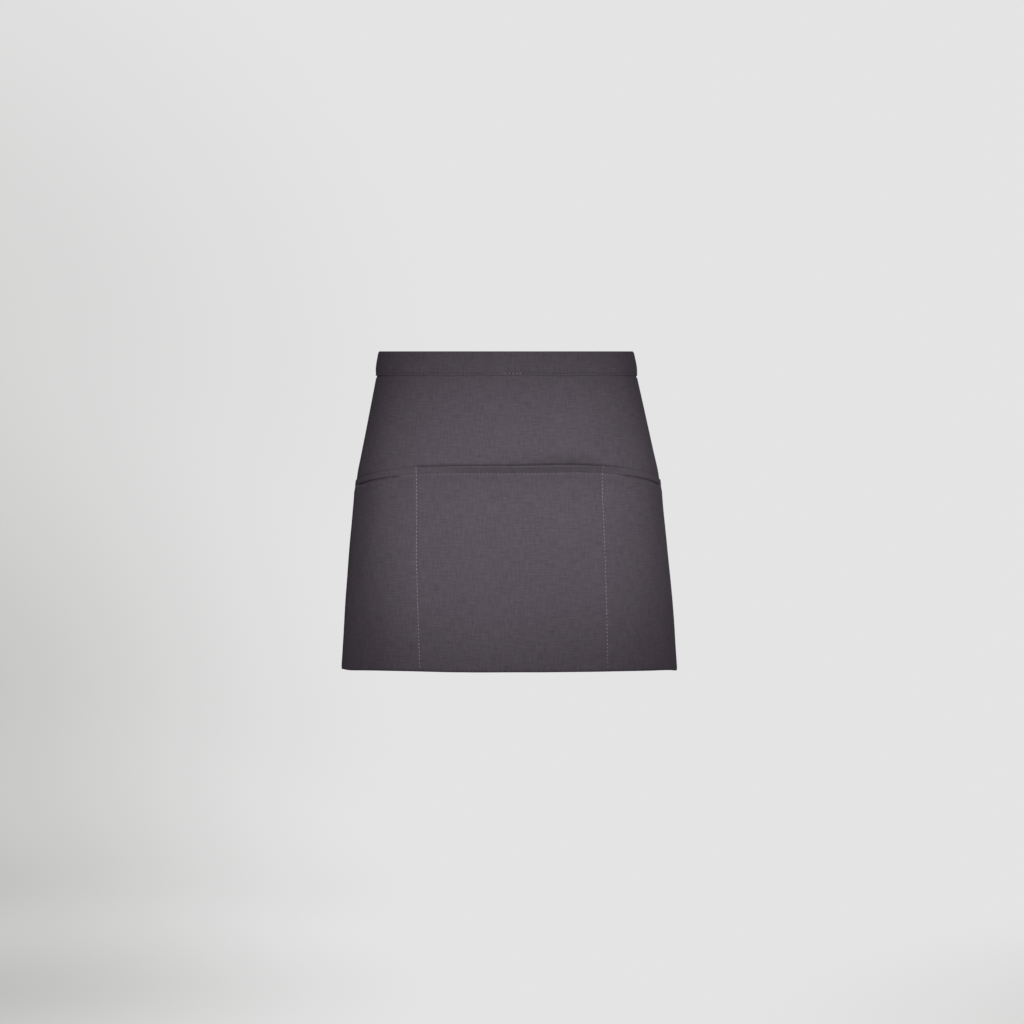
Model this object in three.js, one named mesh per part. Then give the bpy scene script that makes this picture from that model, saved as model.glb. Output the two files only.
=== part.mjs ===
// A waist apron with three front pockets, in the form that it takes on a wearer.
// Millimetres, +Z up, front towards -Y. The origin is the middle of the waist opening,
// level with the top edge of the waistband.

import * as THREE from "three";

// Driving dimensions of the cut cloth.
const APRON_WIDTH = 610; // from side edge to side edge, measured round the wearer
const APRON_LENGTH = 305.8; // from the waistband's top edge to the hem, down the centre front
const BAND_HEIGHT = 22.5; // folded waistband, at the centre front
const BAND_PAST_SKIRT = 12; // how far each end of the waistband runs past the skirt's side edge
const POCKET_MOUTH = 108.4; // from the waistband's top edge to the pocket mouth, down the centre front
const POCKET_HEM = 8; // turned-in hem of the mouth, from its fold to its stitching
const POCKET_INSET = 2; // pocket panel's side edges, inside the skirt's
const DIVIDER = 89.5; // from the centre front to each upright line of stitching
const TIE_WIDTH = 19; // folded tie, which goes into the open end of the waistband
const TIE_IN_BAND = 6; // how much of a tie is sewn inside the waistband
const TIE_BEND = 11; // radius of a tie's middle line where it turns down under the knot
const TIE_ASIDE = 12; // from the centre back to a tie's middle line, below its bend
const TAIL_DROP = 228; // from the waistband's top edge to the free end of a tie
const TAIL_SPLAY = 9; // how far a free end hangs outside its bend
const KNOT = { width: 31, height: 20, edge: 3, bulge: 8 };

// Layers.
const CLOTH = 1; // one layer of cloth
const GAP = 0.3; // between layers that are sewn together
const FOLD_RADIUS = (3 * CLOTH + 2 * GAP) / 2; // outside of the waistband's fold, round the skirt

// The form under the cloth, as the outer face of the skirt at each depth below the waistband's top edge.
// A section is a half-oval in front and another behind, with `shift` moving its middle sideways.
const FORM = [
  { depth: 0, halfWidth: 125.0, front: 88, back: 86, shift: -2.2 },
  { depth: 26, halfWidth: 127.9, front: 91, back: 91, shift: -1.7 },
  { depth: 118, halfWidth: 147.8, front: 102, back: 110, shift: 0.2 },
  { depth: 134, halfWidth: 148.3, front: 103, back: 112, shift: 0.2 },
  { depth: 186, halfWidth: 153.3, front: 105, back: 113, shift: 0.3 },
  { depth: 245, halfWidth: 159.0, front: 106, back: 110, shift: 0.9 },
  { depth: 314, halfWidth: 164.0, front: 107, back: 106, shift: 1.2 },
];
const FRONT_POWER = 2.8; // shape of a half-oval: 2 is an ellipse, and more is flatter with rounder sides
const BACK_POWER = 2.2;
const FORM_EASE = 7; // the cloth bridges the corners of the table over this depth

// Straight steps along each curved shape.
const SECTION_STEPS = 96; // half a section of the form
const STEPS = {
  fold: 6,
  foldInside: 4,
  band: 2,
  bandEnd: 2,
  skirt: 5,
  pocket: 8,
  tie: 14,
  knotWide: 10,
  knotHigh: 8,
};
const TIE_FINE = 0.3; // the share of a tie, from the waistband past its bend, that has half of its steps

// How each line across the cloth hangs: `sag` is how far it drops on its way round from the centre front,
// `reach` where that drop is complete, `onset` how late it comes in, and `slide` how far the cloth
// has crept sideways round the wearer.
const LINES = [
  { drop: 0, sag: 0, reach: 260, onset: 1.6, slide: 0 },
  { drop: BAND_HEIGHT, sag: 2.8, reach: 260, onset: 1.6, slide: 0 },
  { drop: POCKET_MOUTH, sag: 22.5, reach: 260, onset: 1.6, slide: 1.8 },
  { drop: APRON_LENGTH, sag: 7.6, reach: 215, onset: 3.4, slide: 4.1 },
];

// The three pockets, from edge to edge round the wearer, and how far each mouth stands open.
const POCKET_EDGE = APRON_WIDTH / 2 - POCKET_INSET;
const POCKETS = [
  { from: -POCKET_EDGE, to: -DIVIDER, gape: 1.0, columns: 17 },
  { from: -DIVIDER, to: DIVIDER, gape: 8.0, columns: 16 },
  { from: DIVIDER, to: POCKET_EDGE, gape: 1.0, columns: 17 },
];
const GAPE_POWER = 1.5; // how fast a mouth closes towards the bottom of its pocket

// Table columns at any place between the rows, on straight lines.
function between(rows, key, at) {
  const last = rows.length - 1;
  let i = 0;
  while (i < last - 1 && rows[i + 1][key] < at) i += 1;
  const [low, high] = [rows[i], rows[i + 1]];
  const share = (at - low[key]) / (high[key] - low[key]);
  return Object.fromEntries(Object.keys(low).map((k) => [k, low[k] + (high[k] - low[k]) * share]));
}

// One section of the form, with its corners eased.
function formAt(depth) {
  const [above, here, below] = [-FORM_EASE, 0, FORM_EASE].map((d) => between(FORM, "depth", depth + d));
  return Object.fromEntries(Object.keys(here).map((k) => [k, (above[k] + 2 * here[k] + below[k]) / 4]));
}

// A point of a section and its outward direction, at an angle from the centre front.
function ovalPoint(form, angle) {
  const ahead = Math.cos(angle) > 0;
  const reach = ahead ? form.front : form.back;
  const power = ahead ? FRONT_POWER : BACK_POWER;
  const x = form.halfWidth * Math.abs(Math.sin(angle)) ** (2 / power);
  const y = -Math.sign(Math.cos(angle)) * reach * Math.abs(Math.cos(angle)) ** (2 / power);
  const nx = (x / form.halfWidth) ** (power - 1) / form.halfWidth;
  const ny = (Math.sign(y) * (Math.abs(y) / reach) ** (power - 1)) / reach;
  return { at: new THREE.Vector2(x, y), out: new THREE.Vector2(nx, ny).normalize() };
}

// Half a section from the centre front to the centre back, as points with the arc length up to each.
function halfSection(depth) {
  const form = formAt(depth);
  const points = [];
  let arc = 0;
  for (let i = 0; i <= SECTION_STEPS; i += 1) {
    const point = ovalPoint(form, (Math.PI * i) / SECTION_STEPS);
    if (i > 0) arc += point.at.distanceTo(points[i - 1].at);
    points.push({ ...point, arc });
  }
  return { points, length: arc, shift: form.shift };
}

// The point at an arc length round a section from the centre front, moved out from the form.
function formPoint(depth, arc, out) {
  const { points, shift } = halfSection(depth);
  const along = Math.abs(arc);
  let i = 1;
  while (i < points.length - 1 && points[i].arc < along) i += 1;
  const [a, b] = [points[i - 1], points[i]];
  const share = (along - a.arc) / (b.arc - a.arc);
  const at = a.at.clone().lerp(b.at, share);
  const away = a.out.clone().lerp(b.out, share).normalize();
  at.addScaledVector(away, out);
  return new THREE.Vector3(Math.sign(arc) * at.x + shift, at.y, -depth);
}

// How far a line across the cloth has sagged at a distance round the wearer.
function sagAt(line, round) {
  const share = Math.min(1, Math.abs(round) / line.reach) ** line.onset;
  return (line.sag * (1 - Math.cos(Math.PI * share))) / 2;
}

// A point of the hung cloth: round the wearer from the centre front, down the cloth, and out from its face.
function clothPoint(round, drop, out) {
  const line = between(LINES, "drop", drop);
  return formPoint(drop + sagAt(line, round), round + line.slide, out);
}

// A point of what hangs at the back: sideways from the centre back, down from the waist, and out.
function backPoint(side, aside, drop, out) {
  const sag = LINES[1].sag * Math.min(1, drop / BAND_HEIGHT);
  const depth = drop + sag;
  const arc = halfSection(depth).length - Math.abs(aside);
  return formPoint(depth, side * Math.sign(aside || 1) * arc, out);
}

// A closed mesh from its corners, with its faces turned outwards.
function closedMesh(corners, faces) {
  const volume = faces.reduce(
    (sum, [a, b, c]) => sum + corners[a].dot(corners[b].clone().cross(corners[c])),
    0,
  );
  const turned = volume < 0 ? faces.map(([a, b, c]) => [a, c, b]) : faces;
  const geometry = new THREE.BufferGeometry().setFromPoints(corners);
  geometry.setIndex(turned.flat());
  geometry.computeVertexNormals();
  return geometry;
}

// A wall between an inner and an outer face. face(u, v, outer) gives the point at a column and a row value.
function wall(columns, rows, face) {
  const [across, down] = [columns.length, rows.length];
  const corner = (i, j, outer) => (outer * down + j) * across + i;
  const corners = [];
  for (const outer of [0, 1]) for (const v of rows) for (const u of columns) corners.push(face(u, v, outer));
  const faces = [];
  const quad = (a, b, c, d) => faces.push([a, b, c], [a, c, d]);
  for (let j = 0; j < down - 1; j += 1)
    for (let i = 0; i < across - 1; i += 1) {
      quad(corner(i, j, 1), corner(i, j + 1, 1), corner(i + 1, j + 1, 1), corner(i + 1, j, 1));
      quad(corner(i, j, 0), corner(i + 1, j, 0), corner(i + 1, j + 1, 0), corner(i, j + 1, 0));
    }
  for (let i = 0; i < across - 1; i += 1)
    for (const [j, a, b] of [[0, i, i + 1], [down - 1, i + 1, i]])
      quad(corner(a, j, 0), corner(a, j, 1), corner(b, j, 1), corner(b, j, 0));
  for (let j = 0; j < down - 1; j += 1)
    for (const [i, a, b] of [[0, j + 1, j], [across - 1, j, j + 1]])
      quad(corner(i, a, 0), corner(i, a, 1), corner(i, b, 1), corner(i, b, 0));
  return closedMesh(corners, faces);
}

// A flat profile carried through stations, with capped ends. place(station, point) gives each corner.
// Its quads split from their upper corner like those of a wall, so that layers in it stay parallel.
function sweep(stations, profile, place) {
  const ring = profile.length;
  const corners = stations.flatMap((station) => profile.map((point) => place(station, point)));
  const faces = [];
  for (let i = 0; i < stations.length - 1; i += 1)
    for (let k = 0; k < ring; k += 1) {
      const next = (k + 1) % ring;
      const [a, b] = [i * ring + k, i * ring + next];
      const falls = profile[next].x > profile[k].x;
      if (falls) faces.push([a, b, b + ring], [a, b + ring, a + ring]);
      else faces.push([a, b, a + ring], [b, b + ring, a + ring]);
    }
  const last = (stations.length - 1) * ring;
  for (const [a, b, c] of THREE.ShapeUtils.triangulateShape(profile, []))
    faces.push([c, b, a], [last + a, last + b, last + c]);
  return closedMesh(corners, faces);
}

// Even steps from one value to another, both included.
function steps(from, to, count) {
  return Array.from({ length: count + 1 }, (_, i) => from + ((to - from) * i) / count);
}

// Columns round the wearer that meet every pocket edge and divider, and the skirt's own edges.
const pocketColumns = POCKETS.flatMap((p, i) => steps(p.from, p.to, p.columns).slice(i ? 1 : 0));
const skirtColumns = [-APRON_WIDTH / 2, ...pocketColumns, APRON_WIDTH / 2];

// Rows down the waistband, which the skirt inside it shares.
const bandRows = steps(FOLD_RADIUS, BAND_HEIGHT, STEPS.band);

// The skirt: one layer from inside the waistband's fold to the hem.
function skirtPanel() {
  const rows = [
    ...bandRows,
    ...steps(BAND_HEIGHT, POCKET_MOUTH, STEPS.skirt).slice(1),
    ...steps(POCKET_MOUTH, APRON_LENGTH, STEPS.pocket).slice(1),
  ];
  return wall(skirtColumns, rows, (round, drop, outer) => clothPoint(round, drop, outer ? 0 : -CLOTH));
}

// How far a pocket's mouth or body stands off the skirt, at a share of the way down the panel.
function gapeAt(round, share) {
  const pocket = POCKETS.find((p) => round <= p.to) ?? POCKETS.at(-1);
  const across = (round - pocket.from) / (pocket.to - pocket.from);
  return pocket.gape * Math.sin(Math.PI * across) ** 2 * (1 - share) ** GAPE_POWER;
}

// The pocket panel: one layer, doubled where the mouth is turned in, and lying on the skirt at the dividers.
function pocketPanel() {
  const bottom = APRON_LENGTH - GAP;
  const stitching = POCKET_MOUTH + POCKET_HEM;
  const rows = [POCKET_MOUTH, stitching, ...steps(stitching + CLOTH / 2, bottom, STEPS.pocket)];
  return wall(pocketColumns, rows, (round, drop, outer) => {
    const share = (drop - POCKET_MOUTH) / (bottom - POCKET_MOUTH);
    const rest = GAP + gapeAt(round, share);
    const lining = CLOTH * (1 - share);
    if (outer) return clothPoint(round, drop, rest + lining + CLOTH);
    return clothPoint(round, drop, drop > stitching ? rest + lining : rest);
  });
}

// The waistband: a strip folded over the skirt's top edge, open below and at both ends.
function waistband() {
  const middle = -CLOTH / 2;
  const arc = (radius, from, to, count) =>
    steps(from, to, count).map(
      (angle) =>
        new THREE.Vector2(
          FOLD_RADIUS - radius * Math.sin(angle),
          middle + radius * Math.cos(angle),
        ),
    );
  const inside = FOLD_RADIUS - CLOTH;
  const leaf = (out) => bandRows.slice(1).map((drop) => new THREE.Vector2(drop, out));
  const profile = [
    ...leaf(middle + FOLD_RADIUS).reverse(),
    ...arc(FOLD_RADIUS, 0, Math.PI, STEPS.fold),
    ...leaf(middle - FOLD_RADIUS),
    ...leaf(middle - inside).reverse(),
    ...arc(inside, Math.PI, 0, STEPS.foldInside),
    ...leaf(middle + inside),
  ];
  const end = APRON_WIDTH / 2 + BAND_PAST_SKIRT;
  const past = steps(APRON_WIDTH / 2, end, STEPS.bandEnd).slice(1);
  const stations = [...past.map((round) => -round).reverse(), ...skirtColumns, ...past];
  return sweep(stations, profile, (round, { x: drop, y: out }) => clothPoint(round, drop, out));
}

// A tie: from inside the end of the waistband to the back, then down under the knot to its free end.
function tie(side) {
  const level = FOLD_RADIUS + TIE_WIDTH / 2;
  const waist = halfSection(level).length;
  const start = waist - (APRON_WIDTH / 2 + BAND_PAST_SKIRT - TIE_IN_BAND);
  const run = new THREE.CurvePath();
  const turn = new THREE.Vector2(TIE_ASIDE, level);
  const foot = turn.clone().add(new THREE.Vector2(0, TIE_BEND));
  const end = new THREE.Vector2(foot.x + TAIL_SPLAY, TAIL_DROP);
  const corner = turn.clone().add(new THREE.Vector2(TIE_BEND, 0));
  run.add(new THREE.LineCurve(new THREE.Vector2(start, level), corner));
  run.add(new THREE.QuadraticBezierCurve(corner, turn, foot.clone()));
  run.add(new THREE.LineCurve(foot, end));
  const along = [...steps(0, TIE_FINE, STEPS.tie), ...steps(TIE_FINE, 1, STEPS.tie).slice(1)];
  return wall([-TIE_WIDTH / 2, 0, TIE_WIDTH / 2], along, (across, share, outer) => {
    const at = run.getPointAt(share);
    const ahead = run.getTangentAt(share);
    const aside = at.x - ahead.y * across;
    const drop = at.y + ahead.x * across;
    return backPoint(side, aside, drop, outer ? 0 : -CLOTH);
  });
}

// The knot: a plain rounded lump over the two ties where they turn down.
function tieKnot() {
  const level = FOLD_RADIUS + TIE_WIDTH / 2;
  return wall(steps(-1, 1, STEPS.knotWide), steps(-1, 1, STEPS.knotHigh), (across, down, outer) => {
    const swell = (1 - across ** 4) * (1 - down ** 4);
    const out = GAP + (outer ? KNOT.edge + KNOT.bulge * swell : 0);
    return backPoint(1, (across * KNOT.width) / 2, level + (down * KNOT.height) / 2, out);
  });
}

// Charcoal plain-weave cotton and polyester.
const CHARCOAL = new THREE.Color("#5b545c");
function piece(name, geometry) {
  const cloth = new THREE.MeshStandardMaterial({ color: CHARCOAL, roughness: 0.9, metalness: 0 });
  const mesh = new THREE.Mesh(geometry, cloth);
  mesh.name = name;
  return mesh;
}

const apron = new THREE.Group();
apron.add(
  piece("skirt_panel", skirtPanel()),
  piece("pocket_panel", pocketPanel()),
  piece("waistband", waistband()),
  piece("tie_left", tie(1)),
  piece("tie_right", tie(-1)),
  piece("tie_knot", tieKnot()),
);

export default apron;
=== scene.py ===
# %% [markdown]
# # A charcoal waist apron, sewn from flat cloth
# The real apron is a rectangle of plain-weave cotton and polyester, with a second cloth over its front that
# makes three pockets, a waistband folded over the top edge, and two ties. It is shown in the form that it
# takes when it is worn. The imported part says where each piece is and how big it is. This script makes the
# cloth itself: thin sheets with turned edges, the stitches that hold them, the weave, and the light.

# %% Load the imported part
import math

import bmesh
import bpy
import numpy as np
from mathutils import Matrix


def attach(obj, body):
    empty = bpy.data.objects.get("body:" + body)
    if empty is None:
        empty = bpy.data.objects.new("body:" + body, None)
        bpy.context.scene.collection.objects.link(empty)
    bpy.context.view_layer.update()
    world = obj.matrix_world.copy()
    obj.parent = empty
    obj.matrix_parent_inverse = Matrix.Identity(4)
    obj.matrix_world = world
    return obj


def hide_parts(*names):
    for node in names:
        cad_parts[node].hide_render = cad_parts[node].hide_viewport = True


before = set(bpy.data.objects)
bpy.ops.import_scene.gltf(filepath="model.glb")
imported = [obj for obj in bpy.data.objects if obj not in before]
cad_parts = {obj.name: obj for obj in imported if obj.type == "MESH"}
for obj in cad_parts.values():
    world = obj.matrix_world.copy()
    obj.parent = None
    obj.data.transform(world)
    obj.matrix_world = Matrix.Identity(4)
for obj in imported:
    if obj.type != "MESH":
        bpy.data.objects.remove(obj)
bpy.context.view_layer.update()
print("CAD nodes:", ", ".join(sorted(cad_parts)))

# %% [markdown]
# ## Sizes
# Cloth is measured flat: round from the centre front, and down from the waistband's top edge. All of it is
# in millimetres here and turned to metres once, where a mesh is made.

# %% Sizes of the cut cloth, in millimetres
MM = 0.001
SIDE_EDGE = 305.0  # from the centre front to a side edge of the skirt
LENGTH = 305.8  # from the top edge to the bottom edge
BAND_HEIGHT = 22.5
BAND_END = 317.0  # from the centre front to an end of the waistband
MOUTH = 108.4  # from the top edge to the pocket mouth
MOUTH_HEM = 7.6
POCKET_SIDE = 303.0  # from the centre front to a side edge of the pocket panel
CLOTH = 0.6  # thickness of one layer
AIR = 0.1  # room between two layers
SIDE_HEM = 9.0
SIDE_STITCH = 1.2  # from the inner edge of a side hem to its stitching
EDGE_STITCH = 1.4  # from the bottom edge to its stitching
SIDE_SEWN = SIDE_EDGE - SIDE_HEM + SIDE_STITCH
HEM_SEWN = LENGTH - EDGE_STITCH
DIVIDERS = {
    "drop": (MOUTH, 200.0, LENGTH),
    "left": (-89.5, -90.0, -87.0),
    "right": (87.3, 90.0, 91.3),
}


def divider(side, drop):
    """How far round from the centre front a line of stitching between two pockets is, at a drop."""
    return np.interp(drop, DIVIDERS["drop"], DIVIDERS[side])


print(f"apron {2 * SIDE_EDGE:.0f} mm wide and {LENGTH:.0f} mm long, pockets {LENGTH - MOUTH:.0f} mm deep")

# %% [markdown]
# ## The form under the cloth
# A cloth simulation would find this shape by dropping the cloth on a solid form, but it never lands exactly
# on a photograph's outline, and the form isn't part of the object. A worn apron lies close all round, so its
# shape is a rule instead: oval sections that change with depth, read from a short table whose corners are
# eased. Each section is a half-oval in front and another behind.

# %% Sections of the form
FORM = {
    "depth": (-40, 0, 26, 118, 134, 186, 245, 314, 360),
    "half_width": (120.0, 124.2, 127.9, 147.8, 149.6, 154.7, 160.0, 165.0, 167.6),
    "front": (83.4, 88, 91, 102, 103.4, 105.4, 106.4, 107.4, 107.5),
    "front_power": (3.4, 3.4, 3.3, 2.8, 2.74, 2.76, 2.8, 2.8, 2.8),
    "back": (78.0, 86, 91, 110, 112, 113, 110, 106, 104),
    "shift": (-3.0, -1.9, -1.3, 0.2, 0.2, 0.3, 0.7, 0.85, 0.9),
}
BACK_POWER = 2.2  # 2 is a true ellipse, and a larger power is squarer
EASE = 9  # each corner of the table is rounded over this many millimetres of depth to each side
DEPTHS = np.arange(FORM["depth"][0], FORM["depth"][-1] + 1.0)
ANGLES = np.linspace(0.0, math.pi, 721)
SHARES = np.linspace(0.0, 1.0, 1201)


def eased(column):
    """One column of the table at every millimetre of depth, with its corners rounded."""
    straight = np.interp(DEPTHS, FORM["depth"], FORM[column])
    window = np.hanning(2 * EASE + 3)[1:-1]
    return np.convolve(np.pad(straight, EASE, mode="edge"), window / window.sum(), mode="valid")


def half_oval(half_width, front, front_power, back):
    """Half a section from centre front to centre back: even points, outward directions, and its length."""
    ahead = np.cos(ANGLES) > 0
    reach = np.where(ahead, front, back)
    power = np.where(ahead, front_power, BACK_POWER)
    x = half_width * np.abs(np.sin(ANGLES)) ** (2 / power)
    y = -np.sign(np.cos(ANGLES)) * reach * np.abs(np.cos(ANGLES)) ** (2 / power)
    arc = np.concatenate([[0.0], np.cumsum(np.hypot(np.diff(x), np.diff(y)))])
    x = np.interp(SHARES * arc[-1], arc, x)
    y = np.interp(SHARES * arc[-1], arc, y)
    along_x, along_y = np.gradient(x), np.gradient(y)
    size = np.hypot(along_x, along_y)
    return np.stack([x, y, along_y / size, -along_x / size]), arc[-1]


columns = [eased(name) for name in ("half_width", "front", "front_power", "back")]
sections = [half_oval(*row) for row in zip(*columns)]
SECTIONS = np.stack([section for section, _ in sections])
HALF_GIRTH = np.array([length for _, length in sections])
SHIFT = eased("shift")
waist_round = 2 * np.interp(0.0, DEPTHS, HALF_GIRTH)
print(f"waist {waist_round:.0f} mm round, widest part {2 * HALF_GIRTH.max():.0f} mm round")

# %% [markdown]
# ## Hanging the cloth on the form
# A point of the cloth is found by going so far round a section and so far down. Lines across the cloth
# don't stay level: they sag on their way to the sides, the pocket mouth most of all, and the cloth has
# crept a little sideways. A last number moves the point out from the form, which gives layers their places.
# A Shrinkwrap modifier could press a flat sheet on the form, but it would stretch the cloth. Here the cloth
# keeps its length round each section.

# %% From a place on the cloth to a point in space
# For each line across the cloth: how far it sinks, how far round it has sunk all the way, how late the
# sinking starts, and how far the line has crept sideways.
LINES = {
    "drop": (0, BAND_HEIGHT, MOUTH, LENGTH),
    "sag": (0, 1.8, 22.5, 7.6),
    "reach": (260, 260, 260, 215),
    "onset": (1.6, 1.6, 1.6, 3.4),
    "slide": (0, 0, 1.8, 4.1),
}
LAST_CELL = 1.001  # a lookup ends this far before the end of a table, so that it always has a neighbour


def form_at(depth, arc, out):
    """The point at an arc length round the section at a depth, moved out from the form."""
    row = np.clip(depth - DEPTHS[0], 0, len(DEPTHS) - LAST_CELL)
    share = np.abs(arc) / np.interp(depth, DEPTHS, HALF_GIRTH)
    column = np.clip(share, 0, 1) * (len(SHARES) - LAST_CELL)
    upper, left = row.astype(int), column.astype(int)
    low, along = row - upper, column - left
    corners = [(upper, left, (1 - low) * (1 - along)), (upper + 1, left, low * (1 - along)),
               (upper, left + 1, (1 - low) * along), (upper + 1, left + 1, low * along)]
    x, y, out_x, out_y = sum(SECTIONS[r.ravel(), :, c.ravel()].T * weight.ravel()
                             for r, c, weight in corners)
    out = np.broadcast_to(out, depth.shape).ravel()
    side = np.where(arc.ravel() < 0, -1.0, 1.0)
    shift = np.interp(depth.ravel(), DEPTHS, SHIFT)
    points = np.stack([side * (x + out_x * out) + shift, y + out_y * out, -depth.ravel()], axis=-1)
    return points.reshape(*depth.shape, 3)


# Each pull has a middle and a width round the cloth, a drop and how fast it fades from there, and a height.
LIFTS = {
    "around": (62.0, 20.0, -160.0, 165.0, -203.0, -105.0, 140.0),
    "width": (46.0, 110.0, 50.0, 40.0, 24.0, 40.0, 26.0),
    "drop": (MOUTH, MOUTH, MOUTH, MOUTH, LENGTH, LENGTH, LENGTH),
    "fade": (26.0, 26.0, 26.0, 26.0, 12.0, 12.0, 12.0),
    "height": (1.3, -1.1, -2.6, -2.4, 2.2, 1.4, -0.6),
}


def depth_of(around, drop):
    """How deep a place on the cloth hangs, with the small pulls that lift or lower the mouth and the hem."""
    sag, reach, onset = (np.interp(drop, LINES["drop"], LINES[k]) for k in ("sag", "reach", "onset"))
    share = np.minimum(1, np.abs(around) / reach) ** onset
    depth = drop + sag * (1 - np.cos(np.pi * share)) / 2
    for middle, width, line, fade, height in zip(*LIFTS.values()):
        depth = depth - height * np.exp(-(((around - middle) / width) ** 2) - ((drop - line) / fade) ** 2)
    return depth


def cloth_at(around, drop, out):
    """A point of the hung cloth, in millimetres."""
    around, drop, out = np.broadcast_arrays(np.asarray(around, float), np.asarray(drop, float), out)
    slide = np.interp(drop, LINES["drop"], LINES["slide"])
    return form_at(depth_of(around, drop), around + slide, out)


print("centre front of the hem:", np.round(cloth_at(0.0, LENGTH, 0.0), 1))

# %% [markdown]
# ## Relief
# Cloth is never as smooth as a formula. Long shallow waves run down the skirt and grow towards the hem, a
# soft fold stands at each side of the front, and the free edges behind ripple more because nothing holds
# them. Every line of stitching draws the cloth in, the hem of the pocket mouth lies flat at the sides, and
# the bottom edge rolls in a little. Sculpting could give all this, but a sum of small rules can be read and
# changed. The skirt and the pocket panel share this relief, so they never cross.

# %% Waves, folds and ripples
# Each wave has its length round the cloth and down it, a height and a phase.
WAVES = {
    "around": (118, 71, 47, 29, 21),
    "down": (900, -620, 310, 95, -70),
    "height": (0.55, 0.35, 0.18, 0.07, 0.05),
    "phase": (0.4, 2.1, 4.4, 1.2, 3.3),
}
LOOSE_LENGTH = 120.0  # below the band, the waves reach their full height over this length
FOLDS = {
    "around": (-103.0, 115.0),
    "width": (46.0, 30.0),
    "drop": (LENGTH, 150.0),
    "fade": (115.0, 60.0),
    "height": (11.0, 3.6),
}
RIPPLE = {"start": 222.0, "length": 58.0, "height": 2.6, "phase": 0.6}


def smooth(share):
    """A share from 0 to 1 with eased ends."""
    share = np.clip(share, 0, 1)
    return share * share * (3 - 2 * share)


def waves(around, drop):
    """How far the waves, the two soft folds and the ripple behind stand out."""
    wave = sum(height * np.sin(2 * np.pi * (around / length + drop / down) + phase)
               for length, down, height, phase in zip(*WAVES.values()))
    fold = sum(height * np.exp(-(((around - middle) / width) ** 2) - ((drop - level) / fade) ** 2)
               for middle, width, level, fade, height in zip(*FOLDS.values()))
    behind = np.abs(around) - RIPPLE["start"]
    free = smooth(behind / (SIDE_EDGE - RIPPLE["start"]))
    turn = 2 * np.pi * behind / RIPPLE["length"] + np.sign(around) * RIPPLE["phase"]
    loose = smooth((drop - BAND_HEIGHT) / LOOSE_LENGTH)
    hanging = smooth((drop - BAND_HEIGHT) / (LENGTH - BAND_HEIGHT))
    return wave * loose + fold + RIPPLE["height"] * free * np.sin(turn) * hanging


hem_waves = waves(np.linspace(-SIDE_EDGE, SIDE_EDGE, 500), LENGTH)
print(f"waves along the hem: {hem_waves.min():.1f} to {hem_waves.max():.1f} mm out from the form")

# %% Seams, the flat mouth and the rolled hem
GROOVE_DEPTH = 0.3
GROOVE_WIDTH = 0.9
SEAM_START = 2.0
DITCH = {"below_band": 1.25, "width": 0.8, "depth": 0.1, "sides": 0.75}
PRESSED = {"start": 110.0, "growth": 70.0, "depth": 1.0, "edge": 1.0, "return": 7.0}
CREASE = {"start": 102.0, "growth": 14.0, "end": 182.0, "front": 0.35, "sides": 2.0}
MOUTH_SEAM = {"around": (60.0, 110.0), "below": (6.7, MOUTH_HEM)}
ROLL = {"around": (125.0, 180.0), "radius": (2.2, 1.1), "most": 0.98}


def groove(distance, depth=GROOVE_DEPTH):
    """How far a line of stitching draws the cloth in, at a distance from it."""
    return depth * np.exp(-((distance / GROOVE_WIDTH) ** 2))


def mouth_seam(around):
    """The drop of the stitching below the pocket mouth, which is nearest to the mouth at the centre front."""
    return MOUTH + np.interp(np.abs(around), MOUTH_SEAM["around"], MOUTH_SEAM["below"])


def at_sides(around):
    """A share that grows from 0 in front to 1 at the sides, where the cloth is pulled tight."""
    return smooth((np.abs(around) - PRESSED["start"]) / PRESSED["growth"])


def seams(around, drop):
    """How far stitching draws the cloth in: hems, dividers, the edge of the band and the mouth's sides."""
    depth = groove(HEM_SEWN - drop) + groove(np.abs(around) - SIDE_SEWN)
    for side in ("left", "right"):
        depth = depth + groove(around - divider(side, drop)) * smooth((drop - MOUTH) / SEAM_START)
    ditch = (drop - BAND_HEIGHT - DITCH["below_band"]) / DITCH["width"]
    depth = depth + (DITCH["depth"] + DITCH["sides"] * at_sides(around)) * np.exp(-(ditch**2))
    pulled = smooth((np.abs(around) - CREASE["start"]) / CREASE["growth"])
    pulled = pulled * smooth((CREASE["end"] - np.abs(around)) / CREASE["growth"])
    return depth + groove(drop - mouth_seam(around), CREASE["sides"]) * pulled


def flat_mouth(around, drop):
    """How far the hem of the pocket mouth is pressed in at the sides."""
    begun = smooth((drop - MOUTH + PRESSED["edge"]) / PRESSED["edge"])
    ended = smooth((drop - MOUTH - MOUTH_HEM) / PRESSED["return"])
    return PRESSED["depth"] * at_sides(around) * begun * (1 - ended)


def rolled_hem(around, drop):
    """How far the bottom edge rolls in, as part of a quarter-round."""
    radius = np.interp(np.abs(around), ROLL["around"], ROLL["radius"])
    past = np.clip((drop - LENGTH + radius) / radius, 0, ROLL["most"])
    return radius * (1 - np.sqrt(1 - past**2))


def relief(around, drop):
    """How far the hung cloth stands out from the form."""
    return waves(around, drop) - seams(around, drop) - flat_mouth(around, drop) - rolled_hem(around, drop)


print(f"the hem rolls in {rolled_hem(0.0, LENGTH):.1f} mm at the centre front")

# %% [markdown]
# ## Sheets with two faces
# Each cloth is a sheet with a right side and a wrong side, a thickness, and edges that are rounded as a
# fold rounds them. A sheet is worked out from a path in section, such as down the skirt or round a turned
# hem, and places round the form. A Solidify modifier could add the thickness, but it would not round the
# edges or let the inner side carry a hem. Places lie close together beside stitching, so that the seams
# have real relief. The UV map holds the cloth's own millimetres, and the weave follows it.

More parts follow.
